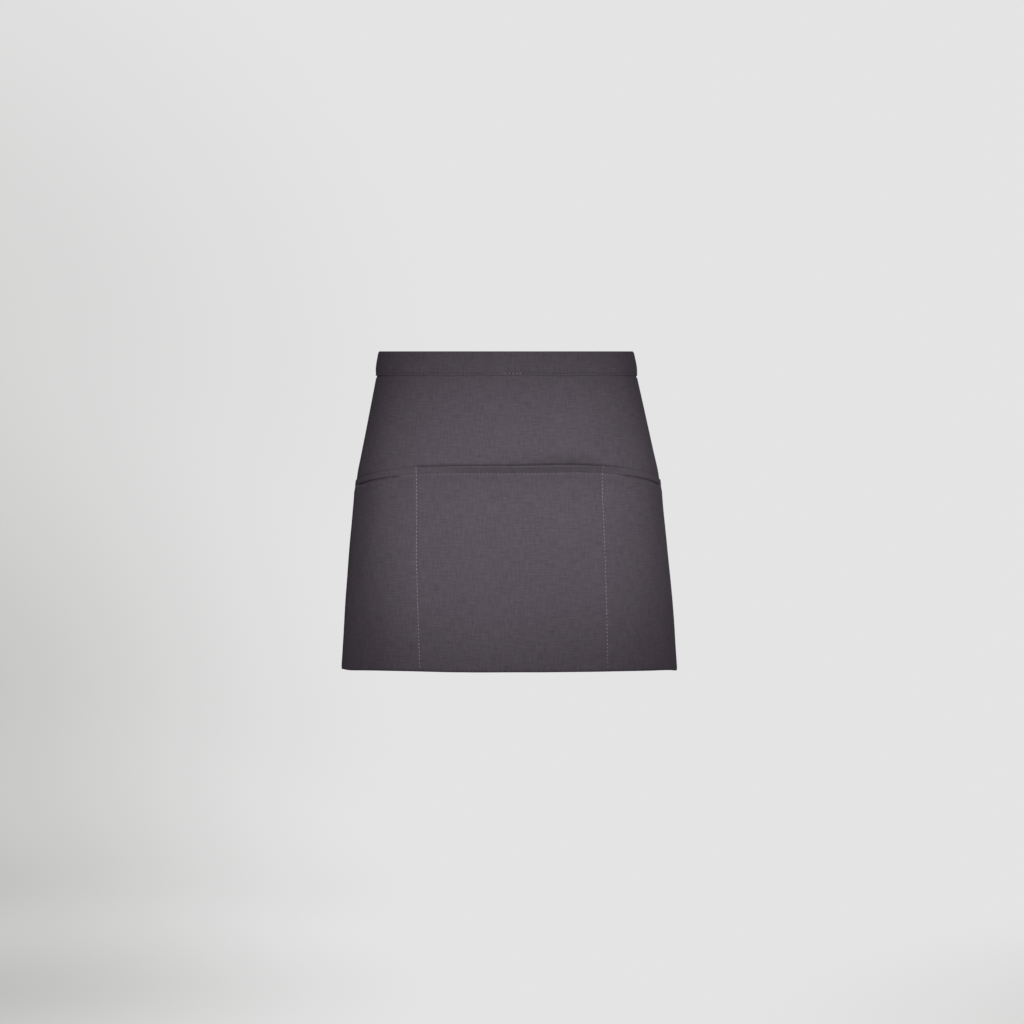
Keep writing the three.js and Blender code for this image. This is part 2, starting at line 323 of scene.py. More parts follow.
# %% Places along a sheet
BESIDE_STITCHES = (-3.2, -1.8, -0.9, -0.4, 0.0, 0.4, 0.9, 1.8, 3.2)
EDGE_STEPS = (0.0, 0.04, 0.13, 0.28, 0.6)
RIM_SHARE = 0.12  # of the full thickness is left at the very edge
CENTRED_INSIDE = {"side_fold": 1.0, "hem": 2.0, "band": 1.5}  # close places lie this far in from an edge


def places(low, high, step, stitched=()):
    """Places from low to high: close ones at both ends and beside stitched lines, and even ones between."""
    marks = [low + d for d in EDGE_STEPS] + [high - d for d in EDGE_STEPS]
    for line in stitched:
        marks += [line + d for d in BESIDE_STITCHES if low + 1 < line + d < high - 1]
    even = [p for p in np.arange(low, high, step) if np.min(np.abs(np.array(marks) - p)) > step / 2]
    return np.unique(np.round(marks + even, 3))


def rounded(steps):
    """The share of full thickness at each place: a half-round at both ends, and 1 between."""
    from_end = np.minimum(steps - steps[0], steps[-1] - steps)
    share = np.clip(1 - from_end / EDGE_STEPS[-1], 0, 1)
    return np.maximum(np.sqrt(1 - share**2), RIM_SHARE)


print("places on 8 mm of cloth:", places(0, 8, 2.0))

# %% [markdown]
# ## The cloth
# Polycotton is woven plain, one thread over and one under, at about 22 threads to the centimetre, and dyed
# in the piece. It gives the eye a matt charcoal with a touch of violet, and short streaks where a thread is
# thicker or thinner. At a millimetre to a pixel the threads themselves can't show, so the weave is drawn
# nearly three times as coarse. The streaks keep their real length of some millimetres. An image of cloth
# would repeat or blur, so sine waves and noise on the UV map draw it instead.

# %% Colour and node helpers
def linear(hex_colour):
    """An sRGB hex colour as the linear RGBA that nodes hold."""
    channels = [int(hex_colour[i:i + 2], 16) / 255 for i in (1, 3, 5)]
    return [c / 12.92 if c <= 0.04045 else ((c + 0.055) / 1.055) ** 2.4 for c in channels] + [1.0]


def add_node(tree, kind, inputs=None, **settings):
    """A node with its settings, and with its inputs linked or given a value."""
    node = tree.nodes.new(kind)
    for name, value in settings.items():
        setattr(node, name, value)
    for key, value in (inputs or {}).items():
        if isinstance(value, bpy.types.NodeSocket):
            tree.links.new(value, node.inputs[key])
        else:
            node.inputs[key].default_value = value
    return node


print("charcoal in linear light:", [round(channel, 3) for channel in linear("#585159")])

# %% Plain-weave polycotton
THREAD_SPACING = 0.45
DRAWN_SPACING = 2.8 * THREAD_SPACING
STREAK_WIDTH = 1.4
STREAK_LENGTH = 11.0
STREAK_OFFSET = 37.0  # streaks down the cloth start elsewhere in the noise than those across it
CLOUD_SIZE = 65.0
WEAVE_TONE = 0.05
CLOUD_TONE = 0.24
TONES = (0.48, 1.76)  # the sums of streaks, weave and clouds that give the dark and the light colour
WEAVE_HEIGHT = 0.4
THREAD_HEIGHT = 0.25


def polycotton(name, dark, light):
    """Matt woven cloth. Its pattern follows the UV map, which holds millimetres of cloth."""
    material = bpy.data.materials.new(name)
    material.use_nodes = True
    tree = material.node_tree
    shader = tree.nodes["Principled BSDF"]
    shader.inputs["Roughness"].default_value = 0.88
    shader.inputs["Specular IOR Level"].default_value = 0.12
    shader.inputs["Sheen Weight"].default_value = 0.02
    shader.inputs["Sheen Roughness"].default_value = 0.5
    cloth = add_node(tree, "ShaderNodeUVMap", uv_map="UVMap").outputs["UV"]

    streaks = []
    both_ways = ((STREAK_LENGTH, STREAK_WIDTH, 0.0), (STREAK_WIDTH, STREAK_LENGTH, STREAK_OFFSET))
    for along, across, start in both_ways:
        scale = (1 / along, 1 / across, 1.0)
        place = add_node(tree, "ShaderNodeMapping", {"Vector": cloth, "Scale": scale,
                                                     "Location": (start, start, 0.0)})
        noise = add_node(tree, "ShaderNodeTexNoise", {"Vector": place.outputs["Vector"], "Scale": 1.0,
                                                      "Detail": 1.0, "Roughness": 0.5},
                         noise_dimensions="2D")
        streaks.append(noise.outputs["Fac"])
    streak = add_node(tree, "ShaderNodeMath", {0: streaks[0], 1: streaks[1]}, operation="ADD")

    axes = add_node(tree, "ShaderNodeSeparateXYZ", {"Vector": cloth})
    threads = []
    for axis in ("X", "Y"):
        turn = add_node(tree, "ShaderNodeMath", {0: axes.outputs[axis], 1: math.pi / DRAWN_SPACING},
                        operation="MULTIPLY")
        threads.append(add_node(tree, "ShaderNodeMath", {0: turn.outputs[0]}, operation="SINE").outputs[0])
    weave = add_node(tree, "ShaderNodeMath", {0: threads[0], 1: threads[1]}, operation="MULTIPLY")

    cloud_scale = (1 / CLOUD_SIZE, 1 / CLOUD_SIZE, 1.0)
    wide = add_node(tree, "ShaderNodeMapping", {"Vector": cloth, "Scale": cloud_scale})
    cloud = add_node(tree, "ShaderNodeTexNoise", {"Vector": wide.outputs["Vector"], "Scale": 1.0,
                                                  "Detail": 3.0, "Roughness": 0.5}, noise_dimensions="2D")
    tone = add_node(tree, "ShaderNodeMath", {0: weave.outputs[0], 1: WEAVE_TONE, 2: streak.outputs[0]},
                    operation="MULTIPLY_ADD")
    tone = add_node(tree, "ShaderNodeMath", {0: cloud.outputs["Fac"], 1: CLOUD_TONE, 2: tone.outputs[0]},
                    operation="MULTIPLY_ADD")
    share = add_node(tree, "ShaderNodeMapRange", {0: tone.outputs[0], 1: TONES[0], 2: TONES[1]})
    colour = add_node(tree, "ShaderNodeMix", {0: share.outputs[0], 6: linear(dark), 7: linear(light)},
                      data_type="RGBA")
    tree.links.new(colour.outputs[2], shader.inputs["Base Color"])

    height = add_node(tree, "ShaderNodeMath", {0: weave.outputs[0], 1: WEAVE_HEIGHT, 2: streak.outputs[0]},
                      operation="MULTIPLY_ADD")
    bump = add_node(tree, "ShaderNodeBump", {"Height": height.outputs[0], "Strength": 0.13,
                                             "Distance": THREAD_HEIGHT * MM})
    tree.links.new(bump.outputs["Normal"], shader.inputs["Normal"])
    return material


charcoal = polycotton("charcoal_polycotton", "#585159", "#6c656d")
print("cloth drawn with threads", round(DRAWN_SPACING, 2), "mm apart")

# %% [markdown]
# ## Sewing thread
# Spun polyester thread is matt, with a slight sheen from its fibres. The apron is sewn in one pale grey
# thread, which shows against the cloth along the two lines between the pockets. Along the pocket mouth the
# same thread is drawn in a middle grey, painted shade for stitches sunk part way into their groove. Along
# the waistband, except for a short stretch near the middle, and along the hem and the side edges it is drawn
# a little darker than the cloth. That is painted shade for stitches sunk in the seam, and it reads as a row
# of small dark dashes. A stitch is too short for its twist to be modelled, so noise stands for it.

# %% Spun polyester thread
FIBRE_SIZE = 0.4
FIBRE_HEIGHT = 0.1


def spun_thread(name, dark, light):
    """Matt sewing thread with the small changes of tone that its twist gives."""
    material = bpy.data.materials.new(name)
    material.use_nodes = True
    tree = material.node_tree
    shader = tree.nodes["Principled BSDF"]
    shader.inputs["Roughness"].default_value = 0.7
    shader.inputs["Sheen Weight"].default_value = 0.2
    place = add_node(tree, "ShaderNodeTexCoord").outputs["Object"]
    twist = add_node(tree, "ShaderNodeTexNoise", {"Vector": place, "Scale": 1 / (FIBRE_SIZE * MM),
                                                  "Detail": 1.0})
    colour = add_node(tree, "ShaderNodeMix", {0: twist.outputs["Fac"], 6: linear(dark), 7: linear(light)},
                      data_type="RGBA")
    tree.links.new(colour.outputs[2], shader.inputs["Base Color"])
    bump = add_node(tree, "ShaderNodeBump", {"Height": twist.outputs["Fac"], "Strength": 0.4,
                                             "Distance": FIBRE_HEIGHT * MM})
    tree.links.new(bump.outputs["Normal"], shader.inputs["Normal"])
    return material


pale_thread = spun_thread("spun_polyester_pale_grey", "#979196", "#bdb7bb")
# painted shade: a middle grey copy of the pale thread, for stitches sunk part way into the mouth's groove
grey_shaded_thread = spun_thread("spun_polyester_grey", "#706971", "#8a838b")
# painted shade: a copy of the pale thread darker than the cloth, for stitches sunk in the seams of the band,
# the hem and the sides
dark_shaded_thread = spun_thread("spun_polyester_charcoal", "#2e2a2f", "#443f45")
print("threads:", pale_thread.name, grey_shaded_thread.name, dark_shaded_thread.name)

# %% [markdown]
# ## From a path to a mesh
# The two faces lie half a thickness to each side of the path, along its normal, and four narrow rims close
# them. Arrays of points are quicker here than many small mesh operations, and they know each point's place
# on the cloth, which the UV map needs.

# %% One sheet of cloth
RUNS_DOWN = 0.5  # a path that drops more than this per millimetre is on the front, past any fold


def sheet_faces(rows, columns):
    """Quads of both faces and the four rims of a sheet, all turned outwards."""
    index = np.arange(2 * rows * columns).reshape(2, rows, columns)
    right, wrong = index

    def quads(a, b, c, d):
        return np.stack([a, b, c, d], axis=-1).reshape(-1, 4)

    return np.concatenate([
        quads(right[:-1, :-1], right[1:, :-1], right[1:, 1:], right[:-1, 1:]),
        quads(wrong[:-1, :-1], wrong[:-1, 1:], wrong[1:, 1:], wrong[1:, :-1]),
        quads(right[0, :-1], right[0, 1:], wrong[0, 1:], wrong[0, :-1]),
        quads(right[-1, 1:], right[-1, :-1], wrong[-1, :-1], wrong[-1, 1:]),
        quads(right[1:, 0], right[:-1, 0], wrong[:-1, 0], wrong[1:, 0]),
        quads(right[:-1, -1], right[1:, -1], wrong[1:, -1], wrong[:-1, -1]),
    ])


def cloth_object(name, points, faces, uv, material):
    """A mesh object at the origin, smooth, with the cloth's own millimetres as its UV map."""
    mesh = bpy.data.meshes.new(name)
    mesh.from_pydata((points.reshape(-1, 3) * MM).tolist(), [], faces.tolist())
    layer = mesh.uv_layers.new(name="UVMap")
    layer.data.foreach_set("uv", uv.reshape(-1, 2)[faces.ravel()].astype(np.float32).ravel())
    mesh.shade_smooth()
    mesh.materials.append(material)
    mesh.validate()
    piece = bpy.data.objects.new(name, mesh)
    bpy.context.scene.collection.objects.link(piece)
    return piece


def sewn_sheet(name, around, path, stand, hem_inside=None, drawn_in=None):
    """A sheet along a path of (drop, out) in section. stand(around, drop) moves it out from the skirt.

    hem_inside thickens the inner side, and drawn_in thins the right side along stitching.
    """
    drop, out = np.array(path, float).T
    length = np.concatenate([[0.0], np.cumsum(np.hypot(np.diff(drop), np.diff(out)))])
    ahead_drop, ahead_out = np.gradient(drop, length), np.gradient(out, length)
    size = np.hypot(ahead_drop, ahead_out)
    half = CLOTH / 2 * rounded(length)[:, None] * rounded(around)[None, :]
    faces = []
    for side in (1, -1):
        face_drop = drop[:, None] - side * half * (ahead_out / size)[:, None]
        face_out = out[:, None] + side * half * (ahead_drop / size)[:, None]
        spread = np.broadcast_to(around[None, :], face_drop.shape)
        if hem_inside is not None and side < 0:
            face_out = face_out - hem_inside(spread, face_drop)
        if drawn_in is not None and side > 0:
            face_out = face_out - drawn_in(spread, face_drop) * (ahead_drop > RUNS_DOWN)[:, None]
        face_out = face_out + stand(spread, face_drop) + relief(spread, face_drop)
        faces.append(cloth_at(spread, face_drop, face_out))
    fall = depth_of(around[None, :], drop[:, None]) + (length - drop)[:, None]
    uv = np.stack(np.broadcast_arrays(around[None, :], fall), axis=-1)
    quads = sheet_faces(len(drop), len(around))
    return cloth_object(name, np.stack(faces), quads, np.stack([uv, uv]), charcoal)


print("the smallest sheet has", len(sheet_faces(2, 2)), "faces: two sides and four rims")

# %% [markdown]
# ## The skirt
# The skirt hangs from inside the waistband's fold to the hem. Its side edges are turned in twice, and the
# turning shows only from behind, as a thicker strip along each edge. Above the middle pocket the skirt
# swells a little and then goes in behind the mouth, which gives the mouth its thin line of shadow. The swell
# could be sculpted, but a short table keeps it clear of the pocket panel.

# %% Skirt panel
SKIRT_TOP = 3.8
ROW_STEP = 3.2
COLUMN_STEP = 3.0
HEM_LAYERS = 2
HEM_STEP = 0.8
# How far the skirt swells, at places round the front: sharply at the mouth, and softly over a longer way.
SHOULDER = {
    "around": (-200.0, -140.0, -92.0, -84.0, -20.0, 0.0, 50.0, 80.0, 91.0, 104.0, 112.0, 150.0, 200.0),
    "sharp": (0.0, 0.25, 0.5, 1.9, 1.9, 2.0, 2.1, 2.0, 1.8, 1.6, 0.5, 0.25, 0.0),
    "soft": (0.0, 0.1, 0.4, -0.9, 0.4, 1.4, 3.8, 3.4, 0.8, 0.0, 0.0, 0.0, 0.0),
}
SHARP_RISE = 2.5
SOFT_RISE = 13.0
SHOULDER_FADE = 70.0


def side_hem(around, drop):
    """Extra thickness on the inner side, where the side edges are turned in."""
    inside = np.abs(around) - (SIDE_EDGE - SIDE_HEM)
    return HEM_LAYERS * CLOTH * smooth(inside / HEM_STEP)


def shoulder(around, drop):
    """How far the skirt swells above the middle pocket, before it goes in behind the mouth."""
    above = MOUTH - drop
    sharp, soft = (np.interp(around, SHOULDER["around"], SHOULDER[k]) for k in ("sharp", "soft"))
    swell = sharp * smooth(above / SHARP_RISE) + soft * smooth(above / SOFT_RISE)
    return swell * (1 - smooth((above - SOFT_RISE) / SHOULDER_FADE))


# Places lie close together beside the lines of stitching and inside the edges.
sewn_around = [-SIDE_SEWN, DIVIDERS["left"][0], DIVIDERS["right"][0], SIDE_SEWN]
side_fold = SIDE_EDGE - SIDE_HEM - CENTRED_INSIDE["side_fold"]
bottom_rows = HEM_SEWN - CENTRED_INSIDE["hem"]
band_ditch = BAND_HEIGHT + DITCH["below_band"]
skirt_around = places(-SIDE_EDGE, SIDE_EDGE, COLUMN_STEP, sewn_around + [-side_fold, side_fold])
skirt_drop = places(SKIRT_TOP, LENGTH, ROW_STEP, (band_ditch, MOUTH, bottom_rows))
skirt_path = [(drop, -CLOTH / 2) for drop in skirt_drop]
skirt = sewn_sheet("skirt_panel_cloth", skirt_around, skirt_path, shoulder, side_hem)
print("skirt:", len(skirt.data.polygons), "faces")

# %% [markdown]
# ## The pocket panel
# The mouth of the pockets is a real turned hem here: the sheet comes up inside, goes round a tight fold and
# down in front. Stitching holds it to the skirt at the sides, at the hem and along the two dividers.
# Between them it is free, and the mouth of the middle pocket stands open most, a little to the right of the
# middle. A line in the material could stand for the hem, but only a real fold opens and throws a shadow.

# %% Pocket panel
# For the three pockets: how far the mouth opens, where along it that is, and how far the cloth puffs out.
POCKETS = {
    "gape": (0.3, 4.5, 0.6),
    "peak": (0.75, 0.70, 0.22),
    "puff": (0.2, 0.8, 0.2),
}
# How far the panel leans out below the mouth, and how far the mouth itself tips out, round the front.
LEANS = {
    "around": (-100.0, -75.0, -45.0, 0.0, 50.0, 76.0, 88.0, 100.0, 114.0, 150.0),
    "lean": (0.2, 1.2, 4.4, 5.2, 5.2, 4.0, 2.8, 2.4, 2.0, 0.2),
    "tip": (0.0, 0.6, 2.3, 3.5, 3.4, 3.2, 2.9, 2.6, 0.6, 0.0),
}
GAPE_FADE = 1.7  # powers of the curves down the pocket and along its mouth
GAPE_CURVE = 0.9
PUFF_SIDES = 5.0  # how steeply the puff begins at the dividers and at the hem
PUFF_HEM = 4.0
LEAN_HEIGHT = 38.0  # the lean and the tip end this far below the mouth
TIP_HEIGHT = 7.5
TIP_CURVE = 1.3
FOLD_RADIUS = 0.35
FOLD_POINTS = 5
FOLD_CLEAR = 0.5  # even rows start this far below a fold
TURNED_EDGE = 1.4  # cloth inside the hem, past its stitching
TURNED_STEP = 1.3
SETTLE_LENGTH = 9.0  # below the hem, the panel comes to lie on the skirt over this length


def pocket_stand(around, drop):
    """How far the pocket panel stands off the skirt between the lines that hold it."""
    below = drop - MOUTH
    down = np.clip(below / (LENGTH - MOUTH), 0, 1)
    near = np.clip(1 - below / LEAN_HEIGHT, 0, 1) ** 2
    tilt = np.clip(1 - below / TIP_HEIGHT, 0, 1) ** TIP_CURVE
    total = np.zeros_like(down)
    held = [np.full_like(down, -POCKET_SIDE), divider("left", drop), divider("right", drop),
            np.full_like(down, POCKET_SIDE)]
    for low, high, gape, peak, puff in zip(held[:-1], held[1:], *POCKETS.values()):
        across = np.clip((around - low) / (high - low), 0, 1)
        skewed = across ** (math.log(0.5) / math.log(peak))
        free = smooth(across * (1 - across) * PUFF_SIDES)
        total += np.sin(np.pi * skewed) ** GAPE_CURVE * gape * (1 - down) ** GAPE_FADE
        total += free * puff * smooth(PUFF_HEM * (1 - down))
    lean, tip = (np.interp(around, LEANS["around"], LEANS[k]) for k in ("lean", "tip"))
    return total + lean * near + tip * tilt


def crease(around, drop):
    """How far the stitching below the mouth draws in the front of the hem alone."""
    return groove(drop - mouth_seam(around), CREASE["front"])


def mouth_path():
    """The pocket panel in section: up inside the hem, round its fold, and down to the bottom edge."""
    sewn = MOUTH + MOUTH_HEM
    fold_middle = MOUTH + FOLD_RADIUS
    inner_out = AIR + CLOTH / 2
    outer_out = inner_out + 2 * FOLD_RADIUS
    inner_rows = places(fold_middle, sewn + TURNED_EDGE, TURNED_STEP)[::-1]
    inner = [(drop, inner_out) for drop in inner_rows if drop > MOUTH + FOLD_CLEAR]
    turns = np.linspace(0, np.pi, FOLD_POINTS + 2)[1:-1]
    fold = [(fold_middle - FOLD_RADIUS * math.sin(t), inner_out + FOLD_RADIUS * (1 - math.cos(t)))
            for t in turns]
    outer_rows = places(fold_middle, LENGTH, ROW_STEP, (sewn, bottom_rows))
    outer = [(drop, outer_out + (inner_out - outer_out) * smooth((drop - sewn) / SETTLE_LENGTH))
             for drop in outer_rows if drop > MOUTH + FOLD_CLEAR]
    return inner + fold + outer


pocket_around = places(-POCKET_SIDE, POCKET_SIDE, COLUMN_STEP, sewn_around)
pocket = sewn_sheet("pocket_panel_cloth", pocket_around, mouth_path(), pocket_stand, drawn_in=crease)
print("pocket panel:", len(pocket.data.polygons), "faces")

# %% [markdown]
# ## Strips along a path
# The waistband and the ties are long strips that follow a path, so Geometry Nodes make them. The path is a
# row of points, and each carries two arrows: `out`, across the cloth, and `hang`, down the strip. The
# section of the strip is a small closed outline, and each of its points says how far to go along each
# arrow. Curve to Mesh joins the two into a closed strip, and Set Position puts every point where the arrows
# send it.

# %% Rows of points that carry attributes
STRIP_VALUES = {
    "rail": "FLOAT_VECTOR", "out": "FLOAT_VECTOR", "hang": "FLOAT_VECTOR", "along": "FLOAT",
    "go_out": "FLOAT", "go_down": "FLOAT", "across": "FLOAT",
}


def polyline(name, points, closed=False, **attributes):
    """An object of points joined in a row, in metres, with named values on its points."""
    count = len(points)
    joins = [(i, i + 1) for i in range(count - 1)] + ([(count - 1, 0)] if closed else [])
    mesh = bpy.data.meshes.new(name)
    mesh.from_pydata(np.asarray(points, float).tolist(), joins, [])
    for key, values in attributes.items():
        values = np.asarray(values, np.float32)
        kind, field = ("FLOAT_VECTOR", "vector") if values.ndim == 2 else ("FLOAT", "value")
        mesh.attributes.new(key, kind, "POINT").data.foreach_set(field, values.ravel())
    line = bpy.data.objects.new(name, mesh)
    bpy.context.scene.collection.objects.link(line)
    return line


def section_object(name, outline):
    """A closed section from its (down, out) millimetres, with the distance along it for the weave."""
    down, out = outline.T
    steps = np.hypot(np.diff(down), np.diff(out))
    across = np.concatenate([[0.0], np.cumsum(steps)])
    points = np.stack([out * MM, down * MM, np.zeros(len(down))], axis=1)
    return polyline(name, points, closed=True, go_out=out, go_down=down, across=across)


print("points of a strip carry:", ", ".join(STRIP_VALUES))

# %% The node tree for a strip
def new_tree(name, inputs):
    """An empty node tree that takes a geometry and the named inputs, with its two end nodes."""
    tree = bpy.data.node_groups.new(name, "GeometryNodeTree")
    tree.interface.new_socket("Geometry", in_out="INPUT", socket_type="NodeSocketGeometry")
    for label, kind in inputs.items():
        tree.interface.new_socket(label, in_out="INPUT", socket_type=kind)
    tree.interface.new_socket("Geometry", in_out="OUTPUT", socket_type="NodeSocketGeometry")
    return tree, add_node(tree, "NodeGroupInput"), add_node(tree, "NodeGroupOutput")


def strip_tree():
    """A closed strip: a section object carried along the path that the tree is given."""
    tree, given, result = new_tree("strip_along_path", {
        "Section": "NodeSocketObject", "Closed Ends": "NodeSocketBool", "Material": "NodeSocketMaterial"})
    carried = {}
    for name, kind in STRIP_VALUES.items():
        value = add_node(tree, "GeometryNodeInputNamedAttribute", {"Name": name}, data_type=kind)
        carried[name] = value.outputs[0]
    section = add_node(tree, "GeometryNodeObjectInfo", {"Object": given.outputs["Section"]})
    path = add_node(tree, "GeometryNodeMeshToCurve", {"Mesh": given.outputs["Geometry"]})
    outline = add_node(tree, "GeometryNodeMeshToCurve", {"Mesh": section.outputs["Geometry"]})
    strip = add_node(tree, "GeometryNodeCurveToMesh", {
        "Curve": path.outputs["Curve"], "Profile Curve": outline.outputs["Curve"],
        "Fill Caps": given.outputs["Closed Ends"]})
    outwards = add_node(tree, "ShaderNodeVectorMath", {
        0: carried["out"], "Scale": carried["go_out"]}, operation="SCALE")
    downwards = add_node(tree, "ShaderNodeVectorMath", {
        0: carried["hang"], "Scale": carried["go_down"]}, operation="SCALE")
    moved = add_node(tree, "ShaderNodeVectorMath", {
        0: outwards.outputs[0], 1: downwards.outputs[0]}, operation="ADD")
    place = add_node(tree, "ShaderNodeVectorMath", {
        0: carried["rail"], 1: moved.outputs[0]}, operation="ADD")
    placed = add_node(tree, "GeometryNodeSetPosition", {
        "Geometry": strip.outputs["Mesh"], "Position": place.outputs[0]})
    cloth = add_node(tree, "ShaderNodeCombineXYZ", {"X": carried["along"], "Y": carried["across"]})
    mapped = add_node(tree, "GeometryNodeStoreNamedAttribute", {
        "Geometry": placed.outputs[0], "Name": "UVMap", "Value": cloth.outputs[0]},
        data_type="FLOAT2", domain="CORNER")
    smoothed = add_node(tree, "GeometryNodeSetShadeSmooth", {"Geometry": mapped.outputs[0]})
    whole = add_node(tree, "GeometryNodeRealizeInstances", {"Geometry": smoothed.outputs[0]})
    add_material = add_node(tree, "GeometryNodeSetMaterial", {
        "Geometry": whole.outputs[0], "Material": given.outputs["Material"]})
    tree.links.new(add_material.outputs[0], result.inputs["Geometry"])
    return tree


def grow(line, tree, **inputs):
    """Runs a node tree on an object once and keeps the result as its plain mesh."""
    modifier = line.modifiers.new(tree.name, "NODES")
    modifier.node_group = tree
    for item in tree.interface.items_tree:
        key = item.name.lower().replace(" ", "_")
        if item.in_out == "INPUT" and key in inputs:
            modifier[item.identifier] = inputs[key]
    graph = bpy.context.evaluated_depsgraph_get()
    grown = line.evaluated_get(graph)
    made = bpy.data.meshes.new_from_object(grown, preserve_all_data_layers=True, depsgraph=graph)
    line.modifiers.clear()
    line.data = made
    made.name = line.name
    return line


strip = strip_tree()


def strip_along(line_name, rail, out, hang, along, section, closed=False):
    """A strip of charcoal cloth along a path in millimetres. A path that closes has no ends to fill."""
    line = polyline(line_name, rail * MM, closed, rail=rail * MM, out=out * MM, hang=hang * MM, along=along)
    grow(line, strip, section=section, closed_ends=not closed, material=charcoal)
    return line


print("strip tree:", len(strip.nodes), "nodes")

# %% [markdown]
# ## The waistband
# The band is a strip folded lengthwise over the top of the skirt, so its section is a tall narrow U. Its
# path is the waist itself. The stitching near its lower edge draws both leaves in. The band could be a sheet
# with a fold, as the pocket mouth is, but its section is the same all along, so the strip tree is simpler.

# %% Waistband
BAND_STITCH = 1.7  # from the lower edge to the stitching
BAND_SEWN = BAND_HEIGHT - BAND_STITCH
BAND_FOLD = 1.5 * CLOTH + AIR
BAND_TOP = 5.0  # the rounded top begins here
BAND_RISE = 0.17
BAND_PUFF = 0.75
BAND_PUFF_CURVE = 1.4
BAND_ROW_STEP = 1.8
BAND_COLUMN_STEP = 2.5
BAND_RIPPLE = {"length": (41.0, 23.0, 14.2), "height": (0.10, 0.06, 0.04)}


def band_section():
    """The folded band in section: how far down and how far out each point of its outline is."""
    rows = places(BAND_TOP, BAND_HEIGHT, BAND_ROW_STEP, (BAND_SEWN - CENTRED_INSIDE["band"],))
    down = rows[rows > BAND_TOP + FOLD_CLEAR]
    drawn = groove(BAND_SEWN - down)
    puff = BAND_PUFF * np.sin(np.pi * np.clip(down / BAND_SEWN, 0, 1) ** BAND_PUFF_CURVE)
    turns = np.linspace(0, np.pi, 15)
    top_puff = puff[0] * np.clip(np.cos(turns), 0, 1)
    inside = BAND_FOLD - CLOTH
    arch = BAND_TOP + BAND_RISE

    def leaf(out):
        return np.stack([down, np.broadcast_to(out, down.shape)], axis=1)

    def fold(height, reach):
        return np.stack([BAND_TOP - height * np.sin(turns), reach * np.cos(turns) + top_puff], axis=1)

    outer = [leaf(BAND_FOLD - drawn + puff)[::-1], fold(arch, BAND_FOLD), leaf(drawn - BAND_FOLD)]
    hollow = [leaf(-inside)[::-1], fold(arch - CLOTH, inside)[::-1], leaf(inside + puff)]
    return np.concatenate(outer + hollow)


band_round = places(-BAND_END, BAND_END, BAND_COLUMN_STEP)
band_rail = cloth_at(band_round, 0.0, -CLOTH / 2)
band_out = cloth_at(band_round, 0.0, 1.0) - cloth_at(band_round, 0.0, 0.0)
band_hang = (cloth_at(band_round, BAND_HEIGHT, -CLOTH / 2) - band_rail) / BAND_HEIGHT
flutter = sum(height * np.sin(2 * np.pi * band_round / length + length)
              for length, height in zip(*BAND_RIPPLE.values()))
band_hang = band_hang + band_out * (flutter / BAND_HEIGHT)[:, None]
folded_band = section_object("band_section", band_section())
waistband = strip_along("waistband_cloth", band_rail, band_out, band_hang, band_round, folded_band)
bpy.data.objects.remove(folded_band)
print("waistband:", len(waistband.data.polygons), "faces")

# %% [markdown]
# ## The ties
# Each tie is a narrow tube of cloth, pressed flat and sewn into the open end of the band. It runs round to
# the back, is gathered where it goes into the knot, turns down and hangs. The same strip tree makes it,
# because arrows that change along the path can narrow the strip at the knot and curl its free end.

# %% Ties
TIE_WIDTH = 19.0
TIE_THICK = 1.5
TIE_LEVEL = 11.4
TIE_START = 311.0
BEND_ASIDE = 6.5
BEND_RADIUS = 6.5
TAIL_END = 228.0
TAIL_SPLAY = 14.5
TIE_FULLNESS = 0.2
TIE_COLUMN_STEP = 1.6
GATHER = {"past_knot": 4.0, "length": 20.0, "width": 0.5, "thicken": 0.7}
CURL = {"past_knot": 15.0, "growth": 120.0, "height": 1.2, "length": 31.0, "roll": 0.5}
EDGE_REACH = 2.0  # the direction across a tie is measured over this distance


def back_at(side, aside, drop, out):
    """A point at the back: sideways from the centre back, down from the waist, and out."""
    aside, drop, out = np.broadcast_arrays(np.asarray(aside, float), np.asarray(drop, float), out)
    sag = LINES["sag"][1] * np.minimum(1, drop / BAND_HEIGHT)
    depth = drop + sag
    arc = np.interp(depth, DEPTHS, HALF_GIRTH) - np.abs(aside)
    return form_at(depth, side * np.where(aside < 0, -1, 1) * arc, out)


def tie_route():
    """A tie's middle line as (aside, drop), how far along it each point is, and how far along the knot is."""
    waist = np.interp(TIE_LEVEL, DEPTHS, HALF_GIRTH)
    corner = BEND_ASIDE + BEND_RADIUS
    run = np.linspace(waist - TIE_START, corner, 16)[:-1]
    turns = np.linspace(0, np.pi / 2, 12)
    fall = np.linspace(0, 1, 60)[1:]
    level = [(a, TIE_LEVEL) for a in run]
    bend = [(corner - BEND_RADIUS * math.sin(t), TIE_LEVEL + BEND_RADIUS * (1 - math.cos(t))) for t in turns]
    foot = TIE_LEVEL + BEND_RADIUS
    tail = [(BEND_ASIDE + TAIL_SPLAY * f, foot + (TAIL_END - foot) * f) for f in fall]
    route = np.array(level + bend + tail)
    along = np.concatenate([[0.0], np.cumsum(np.hypot(*np.diff(route, axis=0).T))])
    return route, along, along[len(level) + len(bend) - 1]


def both_faces(across, middle, half_thick):
    """A thin closed outline: the outer face from edge to edge, and the inner face back again."""
    outer = np.stack([across, middle + half_thick], axis=1)
    inner = np.stack([across, middle - half_thick], axis=1)
    return np.concatenate([outer, inner[::-1]])


def tie_section():
    """A flat tube in section, thin at its stitched edges and a little fuller between."""
    half = TIE_WIDTH / 2
    across = places(-half, half, TIE_COLUMN_STEP)
    full = 1 - TIE_FULLNESS + TIE_FULLNESS * np.cos(np.pi * across / TIE_WIDTH)
    return both_faces(across, 0.0, TIE_THICK / 2 * rounded(across) * full)


